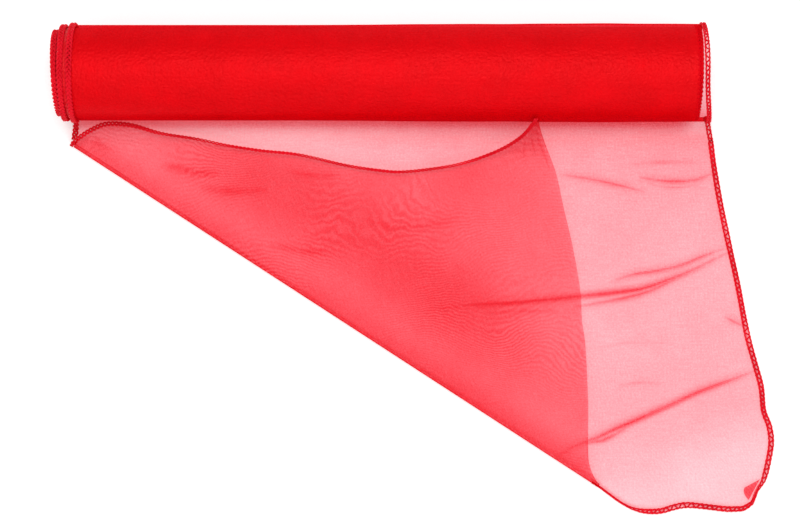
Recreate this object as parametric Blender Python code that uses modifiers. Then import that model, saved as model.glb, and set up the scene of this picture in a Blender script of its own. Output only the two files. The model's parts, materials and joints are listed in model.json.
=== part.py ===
"""A small bolt of sheer cloth: a roll with its lead drawn over the front and folded back.

Metres, +Z up. X runs along the roll, the lead is drawn out towards -Y, and the object stands
on z = 0 with its origin under the middle of its bounding box.
"""

import math

import bmesh
import bpy
from mathutils import Matrix, Vector

# The cloth and the cord sewn along its edges.
WEB_WIDTH = 0.360
CLOTH = 0.0005
HEM_RADIUS = 0.0015
COIL_CORD_RADIUS = 0.0012
GAP = 0.0004

# The paper core and the tape that starts the cloth on it.
CORE_BORE_RADIUS = 0.0130
CORE_PLY = 0.0008
TAPE_THICKNESS = 0.0002
TAPE_ARC = math.radians(70)
TAPE_END = 0.030

# The wound cloth: the turns inside the step have slipped further to the left.
STEP_RADIUS = 0.0240
TURN_RADIUS = 0.0276
OUTER_SLIP = 0.0049
INNER_SLIP = 0.0090
COIL_PITCH = 0.0030

# The loose outer turn, from under the roll, over the top and down the front to the table.
WRAP_START = math.radians(-115)
WRAP_LEAVE = math.radians(205)
DROP_RUN = 0.0094
DROP_PULL = (0.007, 0.009)
HEM_FLARE = 0.0040
HEM_STOP = 0.0040

# The lead on the table: its reach in front of the roll, and its right and end edges as
# (bulge past the straight edge, share of the reach) and (share of the end, sag).
LEAD_REACH = 0.2186
RIGHT_EDGE = (
    (0.0072, 0.035), (0.0112, 0.09), (0.0144, 0.17), (0.0190, 0.27), (0.0237, 0.38),
    (0.0295, 0.50), (0.0355, 0.62), (0.0392, 0.71), (0.0432, 0.79), (0.0434, 0.86),
    (0.0390, 0.92), (0.0345, 0.962), (0.0280, 0.990),
)
END_EDGE = ((0.20, 0.0030), (0.42, 0.0052), (0.62, 0.0016), (0.80, 0.0004))

# The fold across the lead, from its left cord to its end edge, and the flap turned over it.
FOLD_RADIUS = 0.0022
FOLD_START = (0.0041, 0.0030)
FOLD_END = (0.843, 0.9336)
FLAP_CORD_RADIUS = 0.0012
# The flap's corded edge as (share of the width, distance in front of the roll's front).
FLAP_CORD = (
    (0.002, 0.0099), (0.015, 0.0054), (0.038, 0.0013), (0.051, 0.0006), (0.078, 0.0013),
    (0.092, 0.0021), (0.134, 0.0062), (0.192, 0.0095), (0.292, 0.0162), (0.394, 0.0226),
    (0.466, 0.0272), (0.515, 0.0287), (0.572, 0.0272), (0.624, 0.0238), (0.662, 0.0189),
    (0.700, 0.0132), (0.721, 0.0074), (0.733, 0.0021), (0.740, -0.0018),
)
# Its raw edge, from the tip to the fold, as (bulge past the straight line, share of the line).
FLAP_RAW = (
    (0.0009, 0.04), (0.0048, 0.10), (0.0064, 0.17), (0.0082, 0.34), (0.0070, 0.50),
    (0.0040, 0.66), (0.0014, 0.77), (-0.0034, 0.90), (-0.0026, 0.955),
)
LEAN_RUN = 0.026
LEAN_POWER = 2.2
LEAN_LEFT = 0.17
TIP_RISE = 0.012

# The corner tucked back over the lead.
# Its points are (share of the reach, distance inside the right edge).
TUCK_POINTS = ((0.890, 0.0112), (0.925, 0.0042), (0.950, 0.0095))
TUCK_LIFT = 0.0006

ROUND_STEPS = 56
CORD_STEP = 0.0066

half_web = WEB_WIDTH / 2
cord_x = half_web + HEM_RADIUS
axis_z = TURN_RADIUS + HEM_RADIUS
turn_outer = TURN_RADIUS + CLOTH / 2
landing_y = -(TURN_RADIUS + DROP_RUN)
fold_top = 2 * FOLD_RADIUS
flap_base = fold_top + GAP + CLOTH / 2


def point_on_turn(angle, radius=TURN_RADIUS):
    return Vector((0, radius * math.cos(angle), axis_z + radius * math.sin(angle)))


def smooth_curve(points, step):
    """Points about a step apart on a smooth curve through the given ones."""
    ends = [2 * points[0] - points[1], *points, 2 * points[-1] - points[-2]]
    found = []
    for before, start, end, after in zip(ends, ends[1:], ends[2:], ends[3:]):
        count = max(1, round((end - start).length / step))
        for i in range(count):
            t = i / count
            found.append(
                start
                + (end - before) * (t / 2)
                + (2 * before - 5 * start + 4 * end - after) * (t * t / 2)
                + (3 * start - before - 3 * end + after) * (t ** 3 / 2)
            )
    return [*found, points[-1]]


def trimmed(points, start, end):
    """The points, without those nearer than these lengths to its ends along the curve."""
    along = [0.0]
    for a, b in zip(points, points[1:]):
        along.append(along[-1] + (b - a).length)
    return [p for p, s in zip(points, along) if start <= s <= along[-1] - end]


def moved_inwards(points, distance):
    """A line beside the curve, on the right hand of its travel in plan."""
    found = []
    for i, point in enumerate(points):
        travel = points[min(i + 1, len(points) - 1)] - points[max(i - 1, 0)]
        side = Vector((travel.y, -travel.x, 0)).normalized()
        found.append(point + side * distance)
    return found


def turn_profile():
    """The outer turn's middle line in the YZ plane, from under the roll to the table."""
    steps = 32
    wrap = WRAP_LEAVE - WRAP_START
    line = [point_on_turn(WRAP_START + wrap * i / steps) for i in range(steps + 1)]
    leave = line[-1]
    travel = Vector((0, -math.sin(WRAP_LEAVE), math.cos(WRAP_LEAVE)))
    land = Vector((0, landing_y, CLOTH / 2))
    first = leave + travel * DROP_PULL[0]
    second = land + Vector((0, DROP_PULL[1], 0))
    for i in range(1, 11):
        t = i / 10
        line.append(
            leave * (1 - t) ** 3
            + first * (3 * t * (1 - t) ** 2)
            + second * (3 * t * t * (1 - t))
            + land * t ** 3
        )
    return line


def right_cord_points():
    points = [
        Vector((cord_x + bulge, landing_y - share * LEAD_REACH, HEM_RADIUS))
        for bulge, share in RIGHT_EDGE
    ]
    start = Vector((cord_x + HEM_FLARE, landing_y + HEM_STOP - GAP, HEM_RADIUS))
    return [start, *points]


def fold_line():
    """The two ends of the fold's axis."""
    start = Vector((-cord_x - FOLD_START[0], landing_y - FOLD_START[1], FOLD_RADIUS))
    across, down = FOLD_END
    end = Vector((-cord_x + across * 2 * cord_x, landing_y - down * LEAD_REACH, FOLD_RADIUS))
    return start, end


def end_cord_points():
    """From the lower right corner, along the end edge, up to the fold."""
    corner = right_cord_points()[-1]
    last = fold_line()[1].copy()
    last.z = HEM_RADIUS
    bends = [
        corner.lerp(last, share) - Vector((0, sag, 0)) for share, sag in END_EDGE
    ]
    return [corner, *bends, last]


def clear_of_roll(point, margin):
    """The point, moved straight away from the roll's axis where it is inside the margin."""
    offset = Vector((point.y, point.z - axis_z))
    nearest = turn_outer + margin
    if offset.length >= nearest:
        return point
    offset *= nearest / offset.length
    return Vector((point.x, offset.x, axis_z + offset.y))


def flap_height(x, y):
    """The height of the flap's cloth: flat on the fold, and leaning up against the roll."""
    lean_end = -turn_outer + TIP_RISE / 6
    run = min(1.0, max(0.0, (y - lean_end + LEAN_RUN) / LEAN_RUN))
    across = min(1.0, max(0.0, (x + 0.30 * WEB_WIDTH) / (0.47 * WEB_WIDTH)))
    share = LEAN_LEFT + (1 - LEAN_LEFT) * across * across * (3 - 2 * across)
    return flap_base + share * (axis_z + TIP_RISE - flap_base) * run ** LEAN_POWER


def flap_cord_points():
    points = []
    for share, distance in FLAP_CORD:
        x = -cord_x + share * 2 * cord_x
        y = -turn_outer - distance
        points.append(Vector((x, y, flap_height(x, y))))
    margin = 2 * GAP + FLAP_CORD_RADIUS
    return [clear_of_roll(point, margin) for point in smooth_curve(points, CORD_STEP)]


def flap_raw_points(tip):
    """The raw edge, from the tip to the fold's end."""
    end = fold_line()[1]
    points = []
    for bulge, share in FLAP_RAW:
        x = tip.x + share * (end.x - tip.x) + bulge
        y = tip.y + share * (end.y - tip.y)
        points.append(Vector((x, y, 0)))
    return [Vector((tip.x, tip.y, 0)), *points]


def new_material(name, color, roughness, alpha=1.0):
    material = bpy.data.materials.new(name)
    material.use_nodes = True
    shader = material.node_tree.nodes["Principled BSDF"]
    shader.inputs["Base Color"].default_value = (*color, 1.0)
    shader.inputs["Roughness"].default_value = roughness
    shader.inputs["Metallic"].default_value = 0.0
    shader.inputs["Alpha"].default_value = alpha
    return material


def add_object(name, data, material, body):
    piece = bpy.data.objects.new(name, data)
    piece.data.materials.append(material)
    bolt.objects.link(piece)
    piece.parent = body
    piece.matrix_parent_inverse = Matrix.Translation(-body.location)
    return piece


def add_tube(name, inner, outer, left, right, material, body):
    """A turned sleeve along the roll's axis."""
    mesh = bpy.data.meshes.new(name)
    corners = [(left, 0, outer), (right, 0, outer), (right, 0, inner), (left, 0, inner)]
    mesh.from_pydata(corners, [(0, 1), (1, 2), (2, 3), (3, 0)], [])
    piece = add_object(name, mesh, material, body)
    piece.location.z = axis_z
    turn = piece.modifiers.new("Turn", "SCREW")
    turn.axis = "X"
    turn.steps = ROUND_STEPS
    turn.render_steps = ROUND_STEPS
    turn.use_merge_vertices = True
    turn.merge_threshold = 0.00001
    turn.use_smooth_shade = False
    turn.use_normal_flip = True
    return piece


def add_shell(name, profile, left, right, thickness, material, body):
    """A thin shell: a line in the YZ plane drawn along X."""
    bm = bmesh.new()
    line = [bm.verts.new((left, point.y, point.z)) for point in profile]
    edges = [bm.edges.new(pair) for pair in zip(line, line[1:])]
    drawn = bmesh.ops.extrude_edge_only(bm, edges=edges)["geom"]
    far = [item for item in drawn if isinstance(item, bmesh.types.BMVert)]
    bmesh.ops.translate(bm, verts=far, vec=(right - left, 0, 0))
    mesh = bpy.data.meshes.new(name)
    bm.to_mesh(mesh)
    bm.free()
    mesh.shade_smooth()
    piece = add_object(name, mesh, material, body)
    thicken = piece.modifiers.new("Thickness", "SOLIDIFY")
    thicken.thickness = thickness
    thicken.offset = 0
    return piece


def add_cord(name, points, radius, material, body, sides=2):
    """A round cord along the points."""
    curve = bpy.data.curves.new(name, "CURVE")
    curve.dimensions = "3D"
    curve.bevel_depth = radius
    curve.bevel_resolution = sides
    curve.use_fill_caps = True
    spline = curve.splines.new("POLY")
    spline.points.add(len(points) - 1)
    for target, point in zip(spline.points, points):
        target.co = (*point, 1.0)
    return add_object(name, curve, material, body)


def add_plate(name, outline, bottom, thickness, material, body):
    """A flat plate with its underside at the given height."""
    curve = bpy.data.curves.new(name, "CURVE")
    curve.dimensions = "2D"
    curve.fill_mode = "BOTH"
    curve.extrude = thickness / 2
    spline = curve.splines.new("POLY")
    spline.points.add(len(outline) - 1)
    for target, point in zip(spline.points, outline):
        target.co = (point.x, point.y, 0, 1)
    spline.use_cyclic_u = True
    piece = add_object(name, curve, material, body)
    piece.location.z = bottom + thickness / 2
    return piece


def build_core(body):
    left = -half_web - INNER_SLIP
    right = half_web - INNER_SLIP
    inner_ply = CORE_BORE_RADIUS + CORE_PLY
    outer_ply = inner_ply + GAP + CORE_PLY
    add_tube("core_inner_ply", CORE_BORE_RADIUS, inner_ply, left, right, paper, body)
    add_tube("core_outer_ply", inner_ply + GAP, outer_ply, left, right, paper, body)
    tape_radius = outer_ply + GAP + TAPE_THICKNESS / 2
    steps = 8
    line = [point_on_turn(TAPE_ARC * (i / steps - 0.5), tape_radius) for i in range(steps + 1)]
    start, end = left + TAPE_END, right - TAPE_END
    add_shell("start_tape", line, start, end, TAPE_THICKNESS, tape, body)
    return tape_radius + TAPE_THICKNESS / 2 + GAP


def build_windings(first_radius, body):
    """The wound cloth in two steps. Each ends against the coiled cords of its own edges."""
    end = half_web + HEM_RADIUS - COIL_CORD_RADIUS - GAP
    last_radius = TURN_RADIUS - HEM_RADIUS - GAP
    add_tube("inner_winding", first_radius, STEP_RADIUS, -end - INNER_SLIP, end - INNER_SLIP,
             organza, body)
    add_tube("outer_winding", STEP_RADIUS + GAP, last_radius, -end - OUTER_SLIP,
             end - OUTER_SLIP, organza, body)
    inner_start = first_radius + COIL_CORD_RADIUS
    inner_end = STEP_RADIUS - COIL_CORD_RADIUS
    outer_start = STEP_RADIUS + 1.5 * GAP + COIL_CORD_RADIUS
    outer_end = max(outer_start, last_radius - COIL_CORD_RADIUS)
    for side, name in ((-1, "left"), (1, "right")):
        add_coil(f"{name}_inner_coil", side * cord_x - INNER_SLIP, inner_start, inner_end, body)
        add_coil(f"{name}_outer_coil", side * cord_x - OUTER_SLIP, outer_start, outer_end, body)


def add_coil(name, x, start_radius, end_radius, body):
    """The edge cord of the wound turns, coiled outwards in one plane."""
    turns = max(0.94, (end_radius - start_radius) / COIL_PITCH)
    steps = round(turns * 28)
    points = []
    for i in range(steps + 1):
        share = i / steps
        radius = start_radius + share * (end_radius - start_radius)
        point = point_on_turn(math.tau * turns * share, radius)
        points.append(Vector((x, point.y, point.z)))
    add_cord(name, points, COIL_CORD_RADIUS, cord, body)


def build_outer_turn(body):
    profile = turn_profile()
    inside = half_web - GAP
    add_shell("outer_turn", profile, -inside, inside, CLOTH, organza, body)
    stop = [p for p in profile if p.y > landing_y + HEM_STOP]
    for side, name in ((-1, "left_turn_hem"), (1, "right_turn_hem")):
        points = []
        for i, point in enumerate(stop):
            on_drop = i > 32
            flare = HEM_FLARE * (1 - point.z / axis_z) if on_drop else 0.0
            x = side * (cord_x + flare)
            points.append(Vector((x, point.y, max(point.z, HEM_RADIUS))))
        add_cord(name, points, HEM_RADIUS, cord, body)


def build_lead(body):
    right = smooth_curve(right_cord_points(), CORD_STEP)
    end = smooth_curve(end_cord_points(), CORD_STEP)
    start, finish = fold_line()
    add_cord("right_hem", right, HEM_RADIUS, cord, body)
    join = 2 * HEM_RADIUS + GAP
    beside_fold = FOLD_RADIUS + HEM_RADIUS + 2 * GAP
    add_cord("end_hem", trimmed(end, join, beside_fold), HEM_RADIUS, cord, body)

    inset = HEM_RADIUS + 1.5 * GAP
    edge = moved_inwards([*right[1:], *end[1:]], inset)
    edge = [p for p in edge if p.y < landing_y - 2 * GAP]
    crease = (finish - start).normalized()
    beside = Vector((-crease.y, crease.x, 0)) * (FOLD_RADIUS + GAP)
    edge = [p for p in edge if (p - start).dot(beside) > beside.length_squared]
    top = landing_y - GAP
    fold_side = start + beside
    fold_side += crease * ((top - fold_side.y) / crease.y)
    corner = fold_side + crease * (edge[-1] - fold_side).dot(crease)
    outline = [fold_side, Vector((edge[0].x, top, 0)), *edge, corner]
    add_plate("lead_sheet", outline, 0.0, CLOTH, organza, body)

    tuck = []
    for share, inside in TUCK_POINTS:
        y = landing_y - share * LEAD_REACH
        beside_point = min(right, key=lambda p: abs(p.y - y))
        tuck.append(Vector((beside_point.x - inside, y, 0)))
    add_plate("corner_tuck", tuck, CLOTH + TUCK_LIFT, CLOTH, organza, body)


def build_fold(body):
    start, end = fold_line()
    along = end - start
    bm = bmesh.new()
    turn = along.to_track_quat("Z", "X").to_matrix().to_4x4()
    place = Matrix.Translation((start + end) / 2) @ turn
    bmesh.ops.create_cone(
        bm, cap_ends=True, segments=16, radius1=FOLD_RADIUS, radius2=FOLD_RADIUS,
        depth=along.length, matrix=place,
    )
    mesh = bpy.data.meshes.new("fold_roll")
    bm.to_mesh(mesh)
    bm.free()
    add_object("fold_roll", mesh, organza, body)


def even_points(points, count):
    """A number of points at even lengths along the line."""
    along = [0.0]
    for a, b in zip(points, points[1:]):
        along.append(along[-1] + (b - a).length)
    found = []
    for i in range(count):
        goal = along[-1] * i / (count - 1)
        k = max(j for j in range(len(along) - 1) if along[j] <= goal + 1e-12)
        share = (goal - along[k]) / (along[k + 1] - along[k])
        found.append(points[k].lerp(points[k + 1], share))
    return found


def build_flap(body):
    cord_line = flap_cord_points()
    add_cord("flap_hem", cord_line, FLAP_CORD_RADIUS, cord, body)
    inset = FLAP_CORD_RADIUS + GAP
    top_edge = [Vector((p.x, p.y, 0)) for p in moved_inwards(cord_line, inset)]
    raw = smooth_curve(flap_raw_points(top_edge[-1]), CORD_STEP)
    columns_top, columns_raw, rows = 40, 26, 14
    far = even_points(top_edge, columns_top) + even_points(raw, columns_raw)[1:]
    columns = len(far)

    start, end = fold_line()
    crease = (end - start).normalized()
    beside = Vector((-crease.y, crease.x, 0)) * (2 * GAP)
    length = (end - start).length
    bm = bmesh.new()
    bmesh.ops.create_grid(bm, x_segments=columns - 1, y_segments=rows, size=1)
    for vert in bm.verts:
        i = round((vert.co.x + 1) / 2 * (columns - 1))
        share = (vert.co.y + 1) / 2
        place = 0.012 + 0.976 * i / (columns - 1)
        near = start + crease * (place * length) + beside
        point = near.lerp(far[i], 1 - (1 - share) ** 1.6)
        point.z = flap_height(point.x, point.y)
        vert.co = clear_of_roll(point, GAP + CLOTH)
    mesh = bpy.data.meshes.new("flap_panel")
    bm.to_mesh(mesh)
    bm.free()
    mesh.shade_smooth()
    piece = add_object("flap_panel", mesh, organza, body)
    thicken = piece.modifiers.new("Thickness", "SOLIDIFY")
    thicken.thickness = CLOTH
    thicken.offset = 0


def add_empty(name, place, parent=None):
    empty = bpy.data.objects.new(name, None)
    empty.empty_display_size = 0.02
    empty.location = place
    bolt.objects.link(empty)
    empty.parent = parent
    return empty


def centre_over_origin(base):
    """Moves the whole object so that its box stands centred on the origin."""
    bpy.context.view_layer.update()
    graph = bpy.context.evaluated_depsgraph_get()
    corners = []
    for piece in bolt.objects:
        if piece.type == "EMPTY":
            continue
        shape = piece.evaluated_get(graph)
        mesh = shape.to_mesh()
        corners += [shape.matrix_world @ vert.co for vert in mesh.vertices]
        shape.to_mesh_clear()
    low = Vector([min(c[k] for c in corners) for k in range(3)])
    high = Vector([max(c[k] for c in corners) for k in range(3)])
    base.location = Vector((-(low.x + high.x) / 2, -(low.y + high.y) / 2, -low.z))
    bpy.context.view_layer.update()


for old in list(bpy.data.objects):
    bpy.data.objects.remove(old, do_unlink=True)
bolt = bpy.data.collections.new("fabric_bolt")
bpy.context.scene.collection.children.link(bolt)

organza = new_material("red_organza", (0.74, 0.012, 0.022), 0.45, 0.75)
cord = new_material("red_edge_cord", (0.66, 0.010, 0.020), 0.60)
paper = new_material("core_paper", (0.52, 0.40, 0.27), 0.85)
tape = new_material("clear_tape", (0.85, 0.84, 0.78), 0.25, 0.6)

base = add_empty("bolt_base", (0, 0, 0))
sheet_body = add_empty("sheet_body", (0, 0, 0), base)
roll_body = add_empty("roll_axis", (0, 0, axis_z), base)
flap_body = add_empty("fold_axis", fold_line()[0], base)

wind_from = build_core(roll_body)
build_windings(wind_from, roll_body)
build_outer_turn(sheet_body)
build_lead(sheet_body)
build_fold(sheet_body)
build_flap(flap_body)
centre_over_origin(base)
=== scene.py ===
import json
import math

import bpy
import numpy as np
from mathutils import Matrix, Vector


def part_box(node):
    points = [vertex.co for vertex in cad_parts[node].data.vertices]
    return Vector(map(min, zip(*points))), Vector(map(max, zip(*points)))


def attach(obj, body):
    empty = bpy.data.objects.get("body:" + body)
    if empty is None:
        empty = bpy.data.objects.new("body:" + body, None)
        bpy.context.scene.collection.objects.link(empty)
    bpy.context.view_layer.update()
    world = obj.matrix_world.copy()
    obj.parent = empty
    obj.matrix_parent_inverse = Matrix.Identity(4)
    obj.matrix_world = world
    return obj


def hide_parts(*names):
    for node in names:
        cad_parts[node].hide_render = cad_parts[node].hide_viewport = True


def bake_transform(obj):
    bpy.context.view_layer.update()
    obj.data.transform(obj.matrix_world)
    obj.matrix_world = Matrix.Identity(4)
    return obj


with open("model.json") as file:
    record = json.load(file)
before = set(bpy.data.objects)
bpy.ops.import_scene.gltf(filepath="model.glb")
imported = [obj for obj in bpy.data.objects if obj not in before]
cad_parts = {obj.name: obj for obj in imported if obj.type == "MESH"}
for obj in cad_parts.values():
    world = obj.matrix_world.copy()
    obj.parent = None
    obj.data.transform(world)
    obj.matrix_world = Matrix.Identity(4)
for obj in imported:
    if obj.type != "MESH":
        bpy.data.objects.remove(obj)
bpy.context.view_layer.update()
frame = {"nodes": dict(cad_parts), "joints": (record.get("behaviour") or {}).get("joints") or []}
print("frame loaded")

mm = 0.001
# The frame's own places: the roll's axis, the middle of the web's width, and the fold's axis.
turnLow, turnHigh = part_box("outer_turn")
woundLow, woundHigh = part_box("outer_winding")
webMiddle = (turnLow.x + turnHigh.x) / 2
axisY = (woundLow.y + woundHigh.y) / 2
axisZ = (woundLow.z + woundHigh.z) / 2
foldJoint = next(j for j in frame["joints"] if j["name"] == "flap_fold")
foldStart = Vector(foldJoint["pos_m"])
foldAlong = Vector(foldJoint["axis"]).normalized()
foldInside = Vector((-foldAlong.y, foldAlong.x, 0))


def at(x, y, z=0.0):
    # A point given in millimetres from the floor under the middle of the roll.
    return Vector((webMiddle + x * mm, axisY + y * mm, z * mm))


def smoothCurve(points, step):
    # Points about a step apart on a smooth curve through the given ones.
    ends = [2 * points[0] - points[1], *points, 2 * points[-1] - points[-2]]
    found = []
    for before, start, end, after in zip(ends, ends[1:], ends[2:], ends[3:]):
        count = max(1, round((end - start).length / step))
        for i in range(count):
            t = i / count
            found.append(
                start
                + (end - before) * (t / 2)
                + (2 * before - 5 * start + 4 * end - after) * (t * t / 2)
                + (3 * start - before - 3 * end + after) * (t**3 / 2)
            )
    return [*found, points[-1]]


def evenly(points, count):
    # The same line, as this many points at even lengths along it.
    line = np.array([tuple(p) for p in points])
    along = np.concatenate([[0], np.cumsum(np.linalg.norm(np.diff(line, axis=0), axis=1))])
    goals = np.linspace(0, along[-1], count)
    return np.stack([np.interp(goals, along, line[:, k]) for k in range(3)], axis=1)


def lineLength(points):
    return sum((b - a).length for a, b in zip(points, points[1:]))


def smoothStep(value):
    t = np.clip(value, 0.0, 1.0)
    return t * t * (3 - 2 * t)


# The routes of the cloth's edges on the table, in millimetres.
routes = {
    "right": [
        (189.1, -36.5), (191.4, -54), (194.9, -74.4), (199.4, -96.1), (205.2, -122.5),
        (210.7, -151.4), (215.4, -169), (219.0, -182.5), (220.4, -196.4), (223.6, -205),
        (224.9, -214.4), (223.6, -224), (220.6, -236.5), (216.7, -243.7), (213.6, -250.5),
        (208.0, -254.0),
    ],
    "end": [
        (208.0, -254.0), (199, -254.2), (189, -253.1), (176, -251.8), (168, -253.0),
        (160, -255.3), (151, -255.5), (143.5, -253.9), (136.6, -250.4), (130.3, -245.9),
        (124.6, -241.6),
    ],
    "flapTop": [
        (-182.0, -37.0), (-175.9, -33.0), (-167.8, -29.2), (-161.5, -28.2), (-152, -28.9),
        (-145, -30.4), (-133.1, -33.8), (-112.1, -37.1), (-95.6, -40.6), (-75.5, -43.7),
        (-52, -46.3), (-25, -52.4), (-5, -55.4), (9, -56.2), (30.3, -53.8), (44.3, -51.0),
        (59.3, -46.0), (70.6, -40.8), (78.6, -35.3), (82.6, -30.5), (84.6, -26.2),
    ],
    "flapRaw": [
        (86.0, -27.4), (89.4, -35.5), (92.4, -42.0), (95.2, -48.4), (98.7, -58.8),
        (102.6, -76.9), (108.0, -100.2), (112.4, -125.7), (113.4, -143.2), (115.4, -157.9),
        (117.0, -190.2), (117.0, -220.0), (118.0, -228.8), (120.4, -234.8), (123.4, -239.9),
    ],
}


def smoothCurveOf(name, step=3.0):
    return [(p.x, p.y, p.z) for p in smoothCurve([Vector((*q, 0)) for q in routes[name]], step)]


roll = {
    "woundRadius": 27.2,      # the tight turns
    "snugRadius": 27.5,       # the outer turn where it lies close, at the left
    "looseRadius": 28.3,      # and where it stands off, at the right
    "halfWidth": 181.0,       # from the middle to the cord at either edge
    "wrapStart": -115.0,      # degrees round the axis, from the back over the top
    "wrapLeave": 205.0,
    "landing": -37.0,
    "rightFlare": 8.1,        # how far the right cord runs out before it lands
    "leftFlare": 3.4,
    "fallsFor": 7.0,          # how far the drop keeps the roll's slope, and the table's
    "levelFor": 9.5,
}


def turnRadius(x):
    share = smoothStep((np.asarray(x, float) + 60) / 150)
    ripple = 0.14 * np.sin(x / 17.0 + 0.8) + 0.05 * np.sin(x / 6.1)
    return roll["snugRadius"] + share * (roll["looseRadius"] - roll["snugRadius"] + ripple)


def turnLine(steps, dropSteps):
    # Unit shape of the outer turn: (angle or None, y, z, share of the way down the drop).
    line = []
    a0, a1 = math.radians(roll["wrapStart"]), math.radians(roll["wrapLeave"])
    for i in range(steps + 1):
        a = a0 + (a1 - a0) * i / steps
        line.append((a, math.cos(a), math.sin(a), 0.0))
    for i in range(1, dropSteps + 1):
        line.append((None, 0.0, 0.0, i / dropSteps))
    return line


def dropPoint(t, radius):
    # The cloth's fall from the front of the roll to the table, as one cubic curve.
    a = math.radians(roll["wrapLeave"])
    leave = np.array([radius * math.cos(a), axisZ / mm + radius * math.sin(a)])
    first = leave + roll["fallsFor"] * np.array([-math.sin(a), math.cos(a)])
    land = np.array([roll["landing"], 0.5])
    second = land + np.array([roll["levelFor"], 0.0])
    return (
        leave * (1 - t) ** 3
        + first * (3 * t * (1 - t) ** 2)
        + second * (3 * t * t * (1 - t))
        + land * t**3
    )


def edgeReach(angle, drop, side):
    # How far from the middle the cord at one edge runs, in millimetres.
    flare = roll["rightFlare"] if side > 0 else roll["leftFlare"]
    front = 0.0 if angle is None else smoothStep((angle - math.pi * 0.55) / (math.pi * 0.45))
    early = 0.42 if side > 0 else 0.0
    share = early * front if angle is not None else early + (1 - early) * drop
    return roll["halfWidth"] - 0.5 + flare * share


# Wrinkles of the lead: height, half width and route, all in millimetres.
wrinkles = [
    (1.0, 0.65, [(100, -57.5), (117, -60.0), (133, -63.4), (152, -68.2)]),
    (1.3, 0.6, [(146.5, -59), (158, -61.0), (169, -61.8), (181, -60.6), (191, -56.6)]),
    (0.4, 0.6, [(152, -62.6), (163, -65.2), (175, -64.8), (184, -62.4)]),
    (2.4, 0.62, [(44, -134.5), (70, -133.0), (89, -131.4), (113, -129.0), (141.7, -125.9),
                (153, -123.6), (174, -115.6), (188, -109.0), (202, -102.2)]),
    (1.4, 0.58, [(130, -121.0), (143, -116.5), (158, -114.1), (172, -110.7), (185, -105.4),
                (199, -100.6)]),
    (1.3, 0.6, [(108, -135.6), (126, -132.6), (142, -129.2), (154, -125.8), (170, -118.0)]),
    (0.5, 0.9, [(56, -138.8), (80, -138.0), (100, -137.0)]),
    (2.5, 0.58, [(98, -224.0), (108.5, -217.5), (123.6, -211.8), (131, -208.0), (151, -199.2),
                 (166.4, -192.3), (181.6, -185.3), (200.4, -178.4), (217, -172.4)]),
    (1.5, 0.5, [(114, -214.4), (124.8, -213.9), (130.5, -211.4), (140, -206.6)]),
    (0.30, 0.8, [(134, -181.5), (146, -180.0), (161, -180.5)]),
    (0.8, 0.7, [(197, -141.0), (202, -143.6), (208.5, -146.6)]),
    (0.30, 1.2, [(140, -52.0), (160, -50.5), (184, -50.8)]),
    (0.12, 1.0, [(122, -160.0), (146, -156.0), (168, -157.5)]),
]
# Pleats of the flap beside its point and at its left end.
pleats = [
    (0.8, 0.6, [(85.0, -31.0), (87.5, -38.0), (91.5, -46.5), (94.5, -56.0)]),
    (0.7, 0.6, [(83.0, -33.0), (84.0, -40.0), (86.5, -47.0)]),
    (0.6, 0.6, [(80.0, -36.5), (79.0, -43.0), (79.5, -49.0)]),
    (0.7, 0.8, [(-178.0, -37.5), (-170.0, -39.0), (-160.0, -44.5)]),
    (0.6, 0.7, [(-173.5, -35.0), (-168.5, -38.5), (-165.5, -43.0)]),
    (0.6, 1.6, [(20.0, -137.0), (48.0, -134.5), (78.0, -133.0), (108.0, -129.0)]),
    (1.1, 2.5, [(-134.0, -52.5), (-122.0, -54.5), (-112.0, -56.5), (-97.0, -57.5)]),
    (1.0, 2.6, [(-111.0, -65.0), (-92.0, -67.6), (-70.0, -66.5)]),
    (0.9, 2.4, [(-70.0, -98.5), (-50.0, -102.6), (-30.0, -103.4)]),
    (0.8, 1.8, [(-60.0, -55.4), (-44.0, -58.4), (-28.0, -58.4)]),
    (0.5, 2.8, [(-20.0, -84.0), (10.0, -88.0), (44.0, -84.0)]),
]


def alongWrinkle(x, y, route):
    # Distance to the route and share of the way along it, for arrays of points.
    nearest = np.full(x.shape, 1e9)
    share = np.zeros(x.shape)
    line = [Vector((*p, 0)) for p in route]
    total, done = lineLength(line), 0.0
    for a, b in zip(line, line[1:]):
        run = b - a
        t = np.clip(((x - a.x) * run.x + (y - a.y) * run.y) / run.length_squared, 0, 1)
        d = np.hypot(x - a.x - t * run.x, y - a.y - t * run.y)
        closer = d < nearest
        nearest = np.where(closer, d, nearest)
        share = np.where(closer, (done + t * run.length) / total, share)
        done += run.length
    return nearest, share


def ripples(x, y, seed, size, amount):
    # Gentle folds with no direction, as a sum of a few waves.
    rng = np.random.default_rng(seed)
    total = np.zeros(np.shape(x))
    for _ in range(9):
        turn, phase = rng.uniform(0, math.tau, 2)
        wave = size * rng.uniform(0.7, 1.6)
        total += np.sin((x * math.cos(turn) + y * math.sin(turn)) * math.tau / wave + phase)
    return total * amount / 9


def ridges(x, y, table):
    # The height and the crowding of the threads that these wrinkles give.
    z = np.zeros(np.shape(x))
    crowd = np.zeros(np.shape(x))
    for height, width, route in table:
        line = [(p.x, p.y) for p in smoothCurve([Vector((*q, 0)) for q in route], 5)]
        d, share = alongWrinkle(x, y, line)
        ends = np.sin(np.pi * np.clip(share, 0, 1)) ** 0.7
        uneven = 0.9 + 0.15 * np.sin(share * 13 + route[0][0])
        z = z + height * np.exp(-((d / (width * 2.6)) ** 2)) * ends
        sharp = np.exp(-((d / (0.8 * width)) ** 2)) + 0.16 * np.exp(-((d / (4 * width)) ** 2))
        crowd = np.maximum(crowd, sharp * ends * uneven * min(1.0, height / 2.2))
    return z, crowd


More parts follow.
